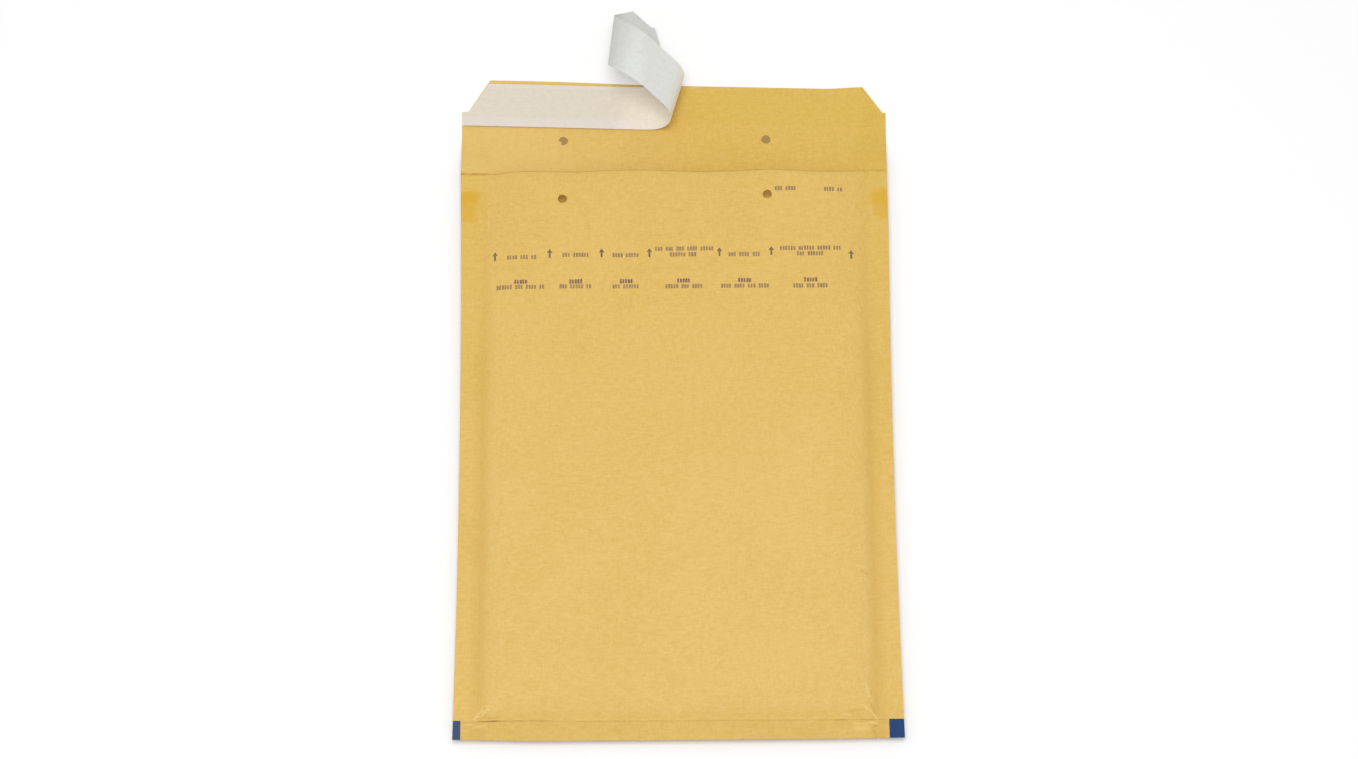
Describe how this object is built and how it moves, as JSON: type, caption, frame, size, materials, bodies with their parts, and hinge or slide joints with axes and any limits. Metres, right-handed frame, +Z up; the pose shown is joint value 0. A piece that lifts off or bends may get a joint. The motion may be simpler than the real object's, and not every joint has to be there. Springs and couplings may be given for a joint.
{
  "type": "padded envelope",
  "caption": "Flat kraft-paper mailing envelope lined with bubble film, flap open, with a glue band whose cover strip is half peeled off.",
  "frame": {"origin": "centre of the envelope body's underside, on the surface that it lies on", "axes": "+X to the right across the envelope, +Y from the folded bottom up to the flap, +Z up out of the sealed front panel"},
  "size_m": [0.2, 0.3562, 0.0315],
  "materials": {
    "kraft_paper": "matte golden kraft paper with fine fibres",
    "bubble_film": "clear soft polyethylene film with air bubbles",
    "hot_melt_glue": "clear tacky glue film that shows the paper under it",
    "siliconised_paper": "smooth off-white paper with a faint silicone sheen"
  },
  "bodies": {
    "root": {"kraft_envelope": "kraft_paper", "bubble_lining": "bubble_film", "adhesive_strip": "hot_melt_glue", "release_liner": "siliconised_paper"}
  },
  "joints": []
}
